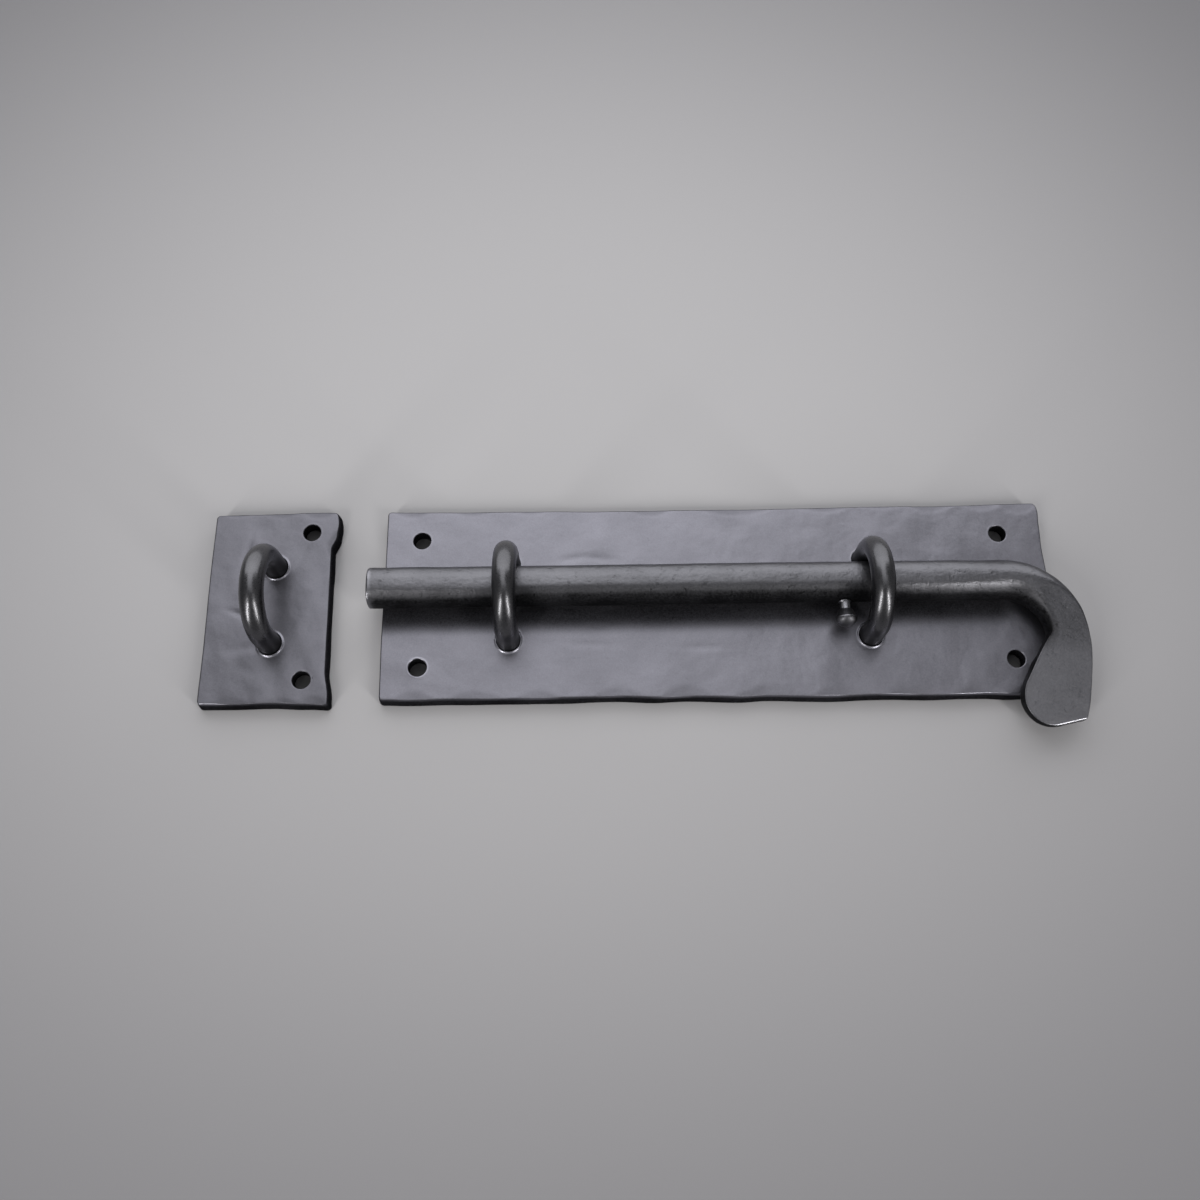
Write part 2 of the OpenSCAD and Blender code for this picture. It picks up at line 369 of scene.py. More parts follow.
def plate_points(low, high, holes, outline, marks_at, depth_at, painted_shade_at, look, right_flare=0.0):
    """A hammered plate. Its front and back are grids of lines, bent to the outline, and round each hole a square of
    the grid is left out and filled with rings, from the square to the hole's lip, down its wall and out to the square
    on the back. The side is a row of rings, from the front's arris over the wall to the back. The colour is lightened
    on the lips as a painted highlight, darkened as painted shade where painted_shade_at says so and on the hole walls,
    and a little dark in the hammer marks of the far half."""
    grid_step, reach, mark_shade, darkest_mark, brightest_lip_rise = 0.85, 8.0, 1.7, 0.23, 0.04
    arris, top = look.arris * MM, high[2]
    inner_low, inner_high = low[:2] + arris, high[:2] - arris
    xs, ys = (grid_lines(inner_low[k], inner_high[k], [h[k] + s * h[2] for h in holes for s in (-1, 1)], grid_step)
              for k in (0, 1))
    gx, gy = np.meshgrid(xs, ys)
    bent_x, bent_y = rounded_corners(gx, gy, inner_low, inner_high, look.corner * MM)
    for side, knots in outline.items():
        if side in ("left", "right"):
            edge, sign = (inner_low[0], 1) if side == "left" else (inner_high[0], -1)
            bent_x = bent_x + ease(1 - sign * (gx - edge) / reach) * eased_line(gy, knots)
        else:
            edge, sign = (inner_low[1], 1) if side == "lower" else (inner_high[1], -1)
            bent_y = bent_y + ease(1 - sign * (gy - edge) / reach) * eased_line(gx, knots)
    count = gx.size
    front = np.stack([bent_x, bent_y, top - depth_at(bent_x, bent_y)], axis=2).reshape(count, 3)
    far_half = front[:, 1] > (low[1] + high[1]) / 2
    marked = np.clip(mark_shade * marks_at(front[:, 0], front[:, 1]), 0, darkest_mark) * far_half
    # the front: darker hammer marks of the far half, and painted shade where painted_shade_at says so
    painted_light_and_wear = [-marked - painted_shade_at(front[:, 0], front[:, 1]), np.zeros(count)]
    number = np.arange(count).reshape(gx.shape)
    keep = np.ones([lines - 1 for lines in gx.shape], dtype=bool)
    points, quads = [front, front * (1, 1, 0)], []

    for cx, cy, block, lip, wall in holes:
        i0, i1 = (int(np.argmin(np.abs(xs - cx - s * block))) for s in (-1, 1))
        j0, j1 = (int(np.argmin(np.abs(ys - cy - s * block))) for s in (-1, 1))
        keep[j0:j1, i0:i1] = False
        square = np.concatenate([number[j0, i0:i1], number[j0:j1, i1], number[j1, i1:i0:-1], number[j1:j0:-1, i0]])
        angle = np.arctan2(gy.ravel()[square] - cy, gx.ravel()[square] - cx)
        circle = np.stack([np.cos(angle), np.sin(angle)], axis=1)
        rings, ring_light_and_wear = [], []
        for share in (0.3, 0.6, 0.85):
            flat = front[square, :2] * (1 - share) + ((cx, cy) + circle * lip[0][0]) * share
            rings.append(np.column_stack([flat, top - depth_at(flat[:, 0], flat[:, 1])]))
            # the painted shade carries on round the holes
            ring_light_and_wear.append(-painted_shade_at(flat[:, 0], flat[:, 1]))
        for radius, rise in lip:
            flat = (cx, cy) + circle * radius
            rings.append(np.column_stack([flat, top - depth_at(flat[:, 0], flat[:, 1]) + rise]))
            # the lip is lightened with its height: a painted highlight
            ring_light_and_wear.append(min(1.0, rise / brightest_lip_rise) if rise > 0 else 0.1)
        for radius, height in wall:
            rings.append(np.column_stack([(cx, cy) + circle * radius, np.full(len(square), height)]))
            # the hole wall: painted shade
            ring_light_and_wear.append(-1.0)
        string_rings((points, quads, painted_light_and_wear), square, square + count, rings, ring_light_and_wear, -1)

    edge = np.concatenate([number[0, :-1], number[:-1, -1], number[-1, :0:-1], number[:0:-1, 0]])
    rings, ring_light_and_wear = side_rings(front[edge], arris, look.flare * MM, right_flare)
    string_rings((points, quads, painted_light_and_wear), edge, edge + count, rings, ring_light_and_wear, 1)
    cells = np.stack([number[:-1, :-1], number[:-1, 1:], number[1:, 1:], number[1:, :-1]], axis=2)[keep]
    quads += [cells, cells[:, ::-1] + count]
    points = np.concatenate(points)
    return points, closed_shell(points, np.concatenate(quads)), np.concatenate(painted_light_and_wear)


def screw_hole(x, y, rim=0.01, block=4.4):
    """A plain screw hole: a faint raised rim and a bevel, as (radius, rise over the front), and a straight wall that
    widens at the back, as (radius, height). The block is half the side of the grid's square that it fills."""
    return (x, y, block,
            [(3.6, 0.0), (3.3, 0.6 * rim), (3.12, rim), (3.0, 0.2 * rim), (2.9, -0.1), (2.83, -0.25)],
            [(2.8, 4.3), (2.8, 2.4), (2.8, 0.35), (2.95, 0.0), (3.5, 0.0)])


def leg_hole(x, y, lip):
    """A staple leg's hole, in the same terms: the lip that the leg raised, a straight wall, and the countersink of
    the plug weld."""
    return (x, y, 6.0,
            [(4.7, 0.0), (4.42, 0.12 * lip), (4.28, 0.5 * lip), (4.14, 0.85 * lip), (3.98, lip), (3.86, 0.8 * lip),
             (3.77, 0.2 * lip), (3.74, -0.3)],
            [(3.74, 4.0), (3.74, 2.0), (4.7, 1.0), (5.56, 0.0), (5.75, 0.0)])


def leg_holes(node, look, far_share):
    """The two leg holes of a staple. The far one's lip has a share of the near one's height."""
    low, high = box_mm(node)
    bar = (high[0] - low[0]) / 2
    return [leg_hole((low[0] + high[0]) / 2, side * (high[1] - bar), look.lip * MM * share)
            for side, share in ((-1, 1), (1, far_share))]


def plate_relief(low, high, marks, single, waves, look):
    """Two functions of x and y: how deep the hammer marks along the edges are, from {side: marks}, and how far the
    whole front lies under the plate's top: a hair, less its waves (share, length, seed), and the marks and the
    single dents."""
    hair = 0.05

    def marks_at(x, y):
        places = {"lower": (x, y - low[1]), "upper": (x, high[1] - y), "right": (y, high[0] - x)}
        return np.maximum.reduce([edge_marks(*places[side], rows, look.mark_slope) for side, rows in marks.items()])

    def depth_at(x, y):
        wave = look.wave * MM * sum(share * wave_field(x, y, 0, length, seed) for share, length, seed in waves)
        return hair - wave + marks_at(x, y) + dents(x, y, single)

    return marks_at, depth_at


class PLATE_OT_back(Operator):
    """Makes the hammered back plate with its four screw holes and the holes of the staple legs"""
    bl_idname = "slide_bolt.back_plate"
    bl_label = "Back plate"

    def execute(self, context):
        look = looks()[0]
        low, high = box_mm("backplate")
        marks = {
            "lower": [(-95.4, 15, 3.3), (-76, 18, 3.0), (-56.5, 15, 2.6), (-31.5, 17, 3.4), (-9.7, 17, 3.8),
                      (16, 21, 3.6), (38.5, 19, 2.8), (61.5, 17, 2.4), (82, 14, 2.9), (98, 16, 2.2)],
            "upper": [(-97.4, 15, 2.9), (-77.5, 17, 2.6), (-59, 16, 2.4), (-39, 14, 1.6), (-19.6, 18, 3.4),
                      (8.5, 30, 3.6), (38.3, 20, 2.8), (57, 14, 1.8), (73, 17, 3.2), (90, 14, 2.6),
                      (102.5, 14, 4.0)],
        }
        single = [(-45.5, 14.6, 4.5, 1.0, 7, 0.20), (-37.5, 14.8, 4.5, 1.0, -7, 0.20), (-46, -2.5, 3.0, 0.7, -4, 0.14),
                  (-33, -3.2, 3.5, 0.8, 3, 0.18), (-14, -3.0, 2.6, 0.8, 0, 0.14), (1, -3.4, 3.0, 0.7, 5, 0.14),
                  (-40, -14.6, 7.0, 0.9, -3, 0.12), (-37.3, -8.7, 1.8, 0.7, -5, 0.16), (-4, -16.2, 8.0, 0.9, -2, 0.12),
                  (-66, -24, 5.0, 2.6, 10, 0.05), (-20, -22, 6.0, 3.0, -15, 0.05), (30, 23, 6.5, 3.2, 5, 0.07),
                  (3, 25, 7.0, 3.0, 0, 0.06), (99, 20, 5.5, 4.0, 50, 0.10), (70, -22, 6.0, 3.5, 20, 0.06),
                  (-88, 3, 4.0, 3.0, 80, 0.05), (88, -4, 6.0, 3.5, 10, 0.08)]
        relief = plate_relief(low, high, marks, single, ((1.3, 34, 11), (0.7, 12, 12)), look)

        def painted_shade_at(x, y):
            """Painted shade: a dark band under the bar, where its shadow and dark reflection fall on the plate, which
            ends softly above, below and at the right.
            """
            below = ease((y + 11.8 - 0.5 * ease((x - 20) / 60)) / 6.0)
            return 0.9 * (below * ease((12 - y) / 4)) * ease((100 - x) / 10)

        outline = {
            "left": [(-32, 0.0), (-10, -0.15), (12, 0.1), (32, 0.15)],
            "right": [(-32, 0.2), (-12, 0.3), (8, 0.1), (16, -0.15), (24, 0.1), (29, 0.45), (32, -0.1)],
            "lower": [(-106, 0.25), (-96, -0.1), (-86, 0.05), (-66, -0.15), (-46, -0.05), (-32, 0.2), (-18, -0.35),
                      (-8, -0.15), (6, -0.6), (14, -0.25), (30, -0.75), (52, -0.5), (70, -0.9), (84, -0.6),
                      (92, -1.0), (108, -0.8)],
            "upper": [(-106, 0.05), (-80, -0.3), (-55, -0.35), (-30, -0.55), (-10, -0.45), (20, -0.4), (45, -0.15),
                      (62, -0.05), (80, -0.1), (95, 0.25), (104, 0.5), (108, 0.45)],
        }
        # the lower-left hole's higher rim also gets a brighter painted highlight on its lip
        holes = [screw_hole(x, y, 0.05 if x < 0 and y < 0 else 0.01) for x, y in PLATE_SCREWS]
        holes += [hole for node in ("front_staple", "rear_staple") for hole in leg_holes(node, look, 0.05)]
        points, faces, painted_light_and_wear = plate_points(low, high, holes, outline, *relief, painted_shade_at, look)
        add_piece("hammered_back_plate", points, faces, painted_light_and_wear, "mounting", "hammered_plate",
                  plate_material(), "backplate")
        return {"FINISHED"}


class PLATE_OT_keeper(Operator):
    """Makes the keeper's hammered plate with its two screw holes and the holes of its staple legs"""
    bl_idname = "slide_bolt.keeper_plate"
    bl_label = "Keeper plate"

    def execute(self, context):
        look = looks()[0]
        low, high = box_mm("keeper_plate")
        marks = {
            "lower": [(-152, 15, 2.6), (-137, 16, 2.2), (-126, 12, 2.8)],
            "upper": [(-154, 13, 2.4), (-140, 15, 3.0), (-128, 14, 3.2)],
            "right": [(20, 14, 4.2), (6, 16, 3.2), (-9, 15, 2.8), (-22, 14, 3.2)],
        }
        single = [(-152.0, -2.5, 2.6, 0.6, -20, 0.34), (-149.5, -4, 2.2, 0.6, -35, 0.32),
                  (-150.5, 18, 6.5, 0.9, 80, 0.28), (-132.5, 17, 5.0, 1.2, 65, 0.20), (-147, -14, 6.0, 1.6, 12, 0.22),
                  (-153, -25, 5.0, 3.0, 30, 0.16), (-146, -22, 4.0, 2.0, -30, 0.11), (-134, -4, 3.6, 2.5, 70, 0.10),
                  (-126, 5, 4.0, 2.0, 80, 0.08), (-148, 26, 4.5, 2.5, 0, 0.09), (-131, -18, 4.0, 2.4, 10, 0.10)]
        relief = plate_relief(low, high, marks, single, ((1.1, 28, 31), (0.7, 11, 32)), look)
        outline = {
            "left": [(-33, -0.1), (-14, 0.1), (10, -0.1), (33, 0.1)],
            "right": [(-33, 0.0), (-30, -0.05), (-22, -1.3), (-8, -1.5), (8, -1.7), (19, -1.9), (24, -0.3), (28, 0.1),
                      (33, -0.5)],
            "lower": [(-162, 0.15), (-150, -0.1), (-138, 0.15), (-128, -0.35), (-121, -0.7)],
            "upper": [(-162, -0.9), (-150, -0.75), (-138, -0.45), (-128, -0.1), (-121, -0.3)],
        }
        holes = [screw_hole(x, y, block=4.0) for x, y in KEEPER_SCREWS] + leg_holes("keeper_staple", look, 1)
        points, faces, painted_light_and_wear = plate_points(low, high, holes, outline, *relief, lambda x, y: np.zeros_like(x), look,
                                          right_flare=0.7)
        # the keeper's plate: a darker copy of the plate's finish, painted shade
        add_piece("hammered_keeper_plate", points, faces, painted_light_and_wear, "mounting", "hammered_plate",
                  plate_material("blackened_keeper_plate", 0.76), "keeper_plate")
        return {"FINISHED"}


# ---------------------------------------------------------------- staples, welds, pin and bolt


def staple_points(node, lean, seed, look):
    """A staple: a circle carried up one leg, round a half circle and down the other leg. The crown leans along x with
    the height's share, and a random field makes the bar uneven. The legs get darker downwards, painted shade towards
    the plate."""
    leg_rings, arch_rings, count, under = 15, 97, 56, 0.02
    low, high = box_mm(node)
    bar = (high[0] - low[0]) / 2
    x, arch = (low[0] + high[0]) / 2, high[1] - bar
    leg_top = high[2] - bar - arch
    up = np.linspace(low[2], leg_top, leg_rings)[:-1]
    turn = np.linspace(np.pi, 0, arch_rings)
    y = np.concatenate([np.full(up.size, -arch), arch * np.cos(turn), np.full(up.size, arch)])
    z = np.concatenate([up, leg_top + arch * np.sin(turn), up[::-1]])
    out_y = np.concatenate([np.full(up.size, -1.0), np.cos(turn), np.full(up.size, 1.0)])
    out_z = np.concatenate([np.zeros(up.size), np.sin(turn), np.zeros(up.size)])
    around = np.linspace(0, 2 * np.pi, count, endpoint=False)
    share = np.clip((z - PLATE_T) / (high[2] - bar - PLATE_T), 0, 1)
    middle = np.stack([x + lean * share ** 1.5, y, z], axis=1)
    side = np.stack([np.ones(y.size), np.zeros(y.size), np.zeros(y.size)], axis=1)
    out = np.stack([np.zeros(y.size), out_y, out_z], axis=1)
    spokes = side[:, None] * np.sin(around)[None, :, None] + out[:, None] * np.cos(around)[None, :, None]
    points = middle[:, None] + spokes * bar
    uneven = look.staple_wave * MM * wave_field(*np.moveaxis(points, 2, 0), 11, seed)
    points = points + spokes * (uneven * (share > 0)[:, None] - under)[:, :, None]
    flat = points.reshape(-1, 3)
    # painted shade: the legs darken towards the plate
    painted_light_and_wear = -0.85 * np.repeat(ease(1 - share / 0.6), count)
    return flat, tube_shell(flat, y.size, count), painted_light_and_wear


class STAPLE_OT_all(Operator):
    """Makes the three bent staples"""
    bl_idname = "slide_bolt.staples"
    bl_label = "Staples"

    def execute(self, context):
        look = looks()[1]
        for node, lean, seed in (("front_staple", -0.25, 41), ("rear_staple", 0.2, 42),
                                 ("keeper_staple", -look.keeper_lean * MM, 43)):
            points, faces, painted_light_and_wear = staple_points(node, lean, seed, look)
            add_piece(f"bent_{node}", points, faces, painted_light_and_wear, "mounting", "bent_bar", staple_material(), node)
        return {"FINISHED"}


def lathe(profile, count):
    """Points of a profile (radius, height) turned round z, as rings."""
    turn = np.linspace(0, 2 * np.pi, count, endpoint=False)
    radius, height = np.array(profile, dtype=float).T
    return np.stack([radius[:, None] * np.cos(turn), radius[:, None] * np.sin(turn),
                     np.repeat(height[:, None], count, axis=1)], axis=2)


class WELD_OT_all(Operator):
    """Makes the ground plug welds on the back of both plates"""
    bl_idname = "slide_bolt.welds"
    bl_label = "Plug welds"

    def execute(self, context):
        count = 48
        for seed, node in enumerate(("front_staple_welds", "rear_staple_welds", "keeper_staple_welds")):
            low, high = box_mm(node)
            x, wide, top = (low[0] + high[0]) / 2, (high[0] - low[0]) / 2, high[2]
            profile = [(3.5, top), (3.62, top - 0.05), (3.7, top - 0.1), (wide - 0.1, 0.16), (wide - 0.05, 0.08),
                       (wide - 0.2, 0.02), (wide * 0.9, 0.012), (wide * 0.7, 0.03), (wide * 0.45, 0.02),
                       (wide * 0.2, 0.03)]
            points, faces, start = [], [], 0
            for side in (-1, 1):
                plug = lathe(profile, count) + (x, side * (high[1] - wide), 0)
                ground = 0.02 * (1 + wave_field(plug[5:, :, 0], plug[5:, :, 1], 0, 2.4, 50 + seed))
                plug[5:, :, 2] += np.clip(ground, 0, 0.05)
                plug = plug.reshape(-1, 3)
                faces += [[v + start for v in face] for face in tube_shell(plug, len(profile), count)]
                points.append(plug)
                start += len(plug)
            points = np.concatenate(points)
            add_piece(f"ground_{node}", points, faces, np.full(len(points), 0.3), "mounting", "ground_weld",
                      weld_material(), node)
        return {"FINISHED"}


class PIN_OT_stop(Operator):
    """Makes the stop pin with its filed neck, its cone and its domed head"""
    bl_idname = "slide_bolt.stop_pin"
    bl_label = "Stop pin"

    def execute(self, context):
        count, depth, dome = 56, 6.0, 2.7
        low, high = box_mm("stop_pin")
        x, z, head = (low[0] + high[0]) / 2, (low[2] + high[2]) / 2, (high[2] - low[2]) / 2 + 0.12
        brim = high[1] - low[1] - dome
        turn = np.radians(np.linspace(8, 86, 12))
        profile = [(1.3, 0.02), (1.45, 0.1), (1.46, depth - 0.5), (1.9, depth + 0.02), (2.05, depth + 0.22),
                   (1.85, depth + 0.4), (1.6, depth + 0.52), (1.55, depth + 0.7), (1.55, depth + 2.7),
                   (1.6, depth + 2.85), (2.1, depth + 2.98), (2.3, depth + 3.1), (head - 0.2, brim - 0.2),
                   (head - 0.07, brim - 0.1), (head - 0.02, brim + 0.02)]
        profile += [((head - 0.02) * math.cos(t), brim + (dome - 0.02) * math.sin(t)) for t in turn]
        pin = lathe(profile, count)
        way = np.linspace(0, 2 * np.pi, count, endpoint=False)
        filed = (np.abs(np.cos(way)) ** 3 + np.abs(np.sin(way)) ** 3) ** (-1 / 3)
        pin[6:9, :, :2] *= filed[:, None]
        points = np.stack([x + pin[:, :, 0], high[1] - pin[:, :, 2], z + pin[:, :, 1]], axis=2)
        uneven = 0.03 * wave_field(*np.moveaxis(points, 2, 0), 3.0, 61)
        points[3:] += (grid_normals(points) * uneven[:, :, None])[3:]
        flat = points.reshape(-1, 3)
        # painted light: the neck and most of the cone are lightened as painted highlights; the cone's first ring and
        # the domed head are darkened as painted shade
        sunk, neck, cone, cap = [0.0] * 5, [0.9] * 4, [-0.6, 0.5, 1.0, 1.0, 1.0, 0.6], [-0.3] * len(turn)
        painted_light_and_wear = np.repeat(sunk + neck + cone + cap, count)
        add_piece("turned_stop_pin", flat, tube_shell(flat, len(profile), count), painted_light_and_wear, "bolt", "forged_pin",
                  pin_material(), "stop_pin")
        return {"FINISHED"}


def bolt_stations(look):
    """The stations of the bolt, as columns: place (x, y), way out (x, y), half width, and how far the round section
    has become the paddle's (0 to 1). The bar runs straight to the bend, and the bend is a quarter circle. On the
    paddle, a station joins a point of the inner outline, a tangent and the lobe's arc, to a point of the outer
    outline, a long arc. The last ones lie parallel to the bottom edge, and the outer corner is rounded. Also gives
    the paddle's outline as a chain of points, and the height of the bolt's axis over y."""
    low, high = box_mm("slide_bolt")
    bar, bend, length = BAR_R, BEND_R, PADDLE_L
    lobe_r, outer_r, reach, rise = 9.0, 110.0, 15.9, 1.9
    axis_y, handle_x = high[1] - bar, high[0] - bar
    nose, bevel = low[0], 0.7
    rows = [(nose, axis_y, 0, 1, radius, 0) for radius in (4.6, bar - bevel - 0.25)]
    for t in np.radians((0, 22, 45, 68)):
        rows.append((nose + bevel * (1 - math.cos(t)), axis_y, 0, 1, bar - bevel + bevel * math.sin(t), 0))
    rows += [(x, axis_y, 0, 1, bar, 0) for x in np.linspace(nose + bevel, handle_x - bend, 190)]
    for t in np.radians(np.linspace(90, 0, 40))[1:]:
        rows.append((handle_x - bend + bend * math.cos(t), axis_y - bend + bend * math.sin(t),
                     math.cos(t), math.sin(t), bar, 0))

    def outer_at(down):
        return np.stack([bar - outer_r + np.sqrt(outer_r ** 2 - down ** 2), -down], axis=-1)

    lobe, start = np.array([lobe_r - reach, lobe_r - length]), np.array([-bar, 0.0])
    corner = outer_at(np.array(length - rise))

    def tangent(point, side):
        away = point - lobe
        return math.atan2(away[1], away[0]) + side * math.acos(lobe_r / np.linalg.norm(away))

    angle_from, angle_to = tangent(start, 1), tangent(corner, -1) + 2 * math.pi
    down = np.array([math.cos(angle_to), math.sin(angle_to)])
    left = np.array([down[1], -down[0]])
    from_edge = np.array([1.5, 1.2, 0.92, 0.68, 0.48, 0.36, 0.25, 0.16, 0.09, 0.035, 0.0])
    far = np.linspace(length - rise - 3, length - rise, 40)
    drops = np.interp(-from_edge, ((outer_at(far) - corner) @ down), far)
    angles = angle_to - np.arccos(1 - from_edge / lobe_r)

    share, knee = np.linspace(0, 1, 60)[1:-1], 0.46
    flank = lobe + lobe_r * np.array([math.cos(angle_from), math.sin(angle_from)])
    on_flank = start + (flank - start) * np.minimum(share / knee, 1)[:, None]
    angle = angle_from + (angles[0] - angle_from) * np.clip((share - knee) / (1 - knee), 0, 1)
    angles = np.concatenate([angle, angles])
    on_lobe = lobe + lobe_r * np.stack([np.cos(angles), np.sin(angles)], axis=1)
    inner = np.concatenate([np.where((share < knee)[:, None], on_flank, on_lobe[:share.size]), on_lobe[share.size:]])
    drop = np.concatenate([drops[0] * np.interp(share, (0, knee, 1), (0, 0.58, 1)), drops])
    corner_r = look.paddle_corner * MM
    pull = corner_r - np.sqrt(corner_r ** 2 - np.clip(corner_r - from_edge, 0, None) ** 2)
    outer = outer_at(drop)
    outer[share.size:] += pull[:, None] * left
    inner, outer = inner + (handle_x, axis_y - bend), outer + (handle_x, axis_y - bend)
    span = outer - inner
    width = np.linalg.norm(span, axis=1)
    rows += np.column_stack([(inner + outer) / 2, span / width[:, None], width / 2, ease(drop / 8.0)]).tolist()
    return np.array(rows), np.concatenate([inner, outer[::-1]]), axis_y


def distance_to_chain(x, y, chain):
    """Distance from points to a chain of points: the least over its segments, each met at its nearest point."""
    best = np.full(x.shape, np.inf)
    for (ax, ay), (bx, by) in zip(chain, chain[1:]):
        dx, dy = bx - ax, by - ay
        t = np.clip(((x - ax) * dx + (y - ay) * dy) / (dx * dx + dy * dy + 1e-12), 0, 1)
        best = np.minimum(best, np.hypot(x - ax - t * dx, y - ay - t * dy))
    return best


def arris_drop(distance, radius):
    """How far a quarter-round arris lies under its face, at a distance from the edge."""
    return radius - np.sqrt(radius ** 2 - np.clip(radius - distance, 0, None) ** 2)


def bolt_points(look):
    """The bolt's skin. A section has a top, an inner side, a bottom and an outer side, each with a fixed number of
    points. On the bar it is a circle, a little squarer above, where the hammer flattened it. Where the front slopes
    down to the tip, the circle is cut by that slope, with its arrises on points of their own. On the paddle it is a
    flat strip, whose arrises are quarter rounds over the distance to the outline. Between the two it is their mean, by
    the station's share. The bar's lower half is darkened as painted shade, by the angle round its axis, which lags
    towards the nose and past the rear staple. The nose's arris is lighter from wear. The paddle's front is lighter,
    partly wear and partly painted light, darker as painted shade along its arrises, and lighter as a painted highlight
    at the tip's edge; its walls carry painted shade."""
    rows, chain, axis_y = bolt_stations(look)
    bar = BAR_R
    axis_z = box_mm("slide_bolt")[0][2] + bar
    slope = (2 * bar - TIP_T) / (BEND_R + PADDLE_L)
    x, y, way_x, way_y, half, flat = (column[:, None] for column in rows.T)

    def front_at(place_y):
        return bar + slope * (place_y - axis_y)

    near = np.array([0.0, 0.035, 0.09, 0.16, 0.25, 0.36, 0.48, 0.68, 0.92])
    middle = np.linspace(-1, 1, 19)[None] * (half - 1.3)
    across = np.concatenate([near - half, middle, (half - near)[:, ::-1]], axis=1)
    top = (half + across) / (2 * half)
    side = np.linspace(0, 1, 25)[None, :-1]

    tilt = np.arctan(slope * way_y)
    cut = np.clip(front_at(y) / half * np.cos(tilt), -1, 1)
    outer = np.minimum(np.radians(65), tilt + np.arcsin(cut))
    inner = np.maximum(np.radians(115), np.pi + tilt - np.arcsin(cut))
    low_in, low_out = np.radians(245), np.radians(295)
    angle = np.concatenate([
        outer + (inner - outer) * top[:, :-1], inner + (low_in - inner) * side,
        low_in + (low_out - low_in) * top[:, :-1], low_out + (outer + 2 * np.pi - low_out) * side], axis=1)
    power = 2.4
    squarish = (np.abs(np.cos(angle)) ** power + np.abs(np.sin(angle)) ** power) ** (-1 / power) - 1
    bend_x = rows[way_x[:, 0] == 0, 0].max()
    swell = 1 + squarish * (np.sin(angle) > 0) * ease((bend_x - x) / 18) * (way_x == 0)
    round_a, round_z = half * np.cos(angle) * swell, half * np.sin(angle) * swell
    uncut = np.where(way_x > 0, 0.6 * (1 - ease((x - bend_x - 6.5) / 9)), bar)
    room = front_at(y + way_y * round_a) + uncut - round_z
    blend = 0.5
    round_z = round_z + np.minimum(room, 0) - np.clip(blend - np.abs(room), 0, None) ** 2 / (4 * blend)

    bulge = 0.08 * np.sin(np.pi * side)
    strip_a = np.concatenate([-across[:, :-1], -half - bulge, across[:, :-1], half + bulge], axis=1)
    n_top, n_side = top.shape[1] - 1, side.size
    plan_x, plan_y = x + way_x * strip_a, y + way_y * strip_a
    edge = distance_to_chain(plan_x, plan_y, chain)
    tip = ease((plan_x - 99) / 5) * ease((plan_y.min() + 5 - plan_y) / 3)
    crisp, soft = look.paddle_arris * MM * (0.4 + 0.6 * tip), 1.6
    face = front_at(plan_y)
    wall = np.concatenate([np.zeros(n_top), side[0], np.ones(n_top), 1 - side[0]])
    high_z, low_z = face - arris_drop(edge, crisp), -bar + arris_drop(edge, soft)
    high_z[:, n_top:] = (face - crisp)[:, n_top:]
    low_z[:, n_top:2 * n_top] = np.where(wall[n_top:2 * n_top] < 1, soft - bar, low_z[:, n_top:2 * n_top])
    strip_z = high_z * (1 - wall) + low_z * wall
    sides = (wall > 0) & (wall < 1)
    strip_z[:, sides] = ((face - crisp) * (1 - wall) + (soft - bar) * wall)[:, sides]

    a = round_a * (1 - flat) + strip_a * flat
    z = round_z * (1 - flat) + strip_z * flat
    points = np.stack([x + way_x * a, y + way_y * a, axis_z + z], axis=2)
    normals = grid_normals(points)
    if np.einsum("ijk,ijk->", normals[5:-5], (points - points.mean(axis=1, keepdims=True))[5:-5]) < 0:
        normals = -normals
    field = np.moveaxis(points, 2, 0)
    uneven = look.scale_wave * MM * (0.9 * wave_field(*field, 22, 71) + 0.5 * wave_field(*field, 7, 72))
    uneven[:6] = 0
    uneven[-12:] *= np.linspace(1, 0, 12)[:, None]
    points = points + normals * (uneven - 0.02)[:, :, None]
    rings, count = points.shape[:2]
    painted_light_and_wear = np.zeros((rings, count))
    painted_light_and_wear[2:7] = 0.8
    on_top = np.zeros(count)
    on_top[:n_top + 1] = 1
    # painted shade on the bar's lower half, by the angle round its axis
    underside_painted_shade = [(60, 0), (101, 0), (113, 0.48), (121, 0.55), (136, 0.97), (245, 0.97), (300, 0.8), (345, 0.3), (375, 0),
            (430, 0)]
    lag = 12 * (1 - ease((x + 85) / 30)) + 18 * ease((x - 45) / 20)
    painted_light_and_wear -= (1 - flat) * ease((x - rows[0, 0] - 0.5) / 2) * eased_line(np.maximum(np.degrees(angle) - lag, 60), underside_painted_shade)
    # the paddle's front: wear and painted light, with painted shade on its arrises and a painted highlight at the tip
    painted_light_and_wear += flat * on_top * (0.55 + (1.15 * tip - 0.5) * ease(1 - edge / 0.8))
    # the paddle's walls: painted shade
    painted_light_and_wear -= flat * ((wall > 0) * (wall < 1) + 0.6 * (wall == 1))
    shell = points.reshape(-1, 3)
    return shell, tube_shell(shell, rings, count), np.clip(painted_light_and_wear, -1, 1).ravel()


class BOLT_OT_slide(Operator):
    """Makes the forged bolt with its bend and its flat paddle"""
    bl_idname = "slide_bolt.bolt"
    bl_label = "Bolt and paddle"

    def execute(self, context):
        points, faces, painted_light_and_wear = bolt_points(looks()[1])
        add_piece("forged_slide_bolt", points, faces, painted_light_and_wear, "bolt", "forged_bar", bolt_material(), "slide_bolt")
        return {"FINISHED"}


# ---------------------------------------------------------------- finishes


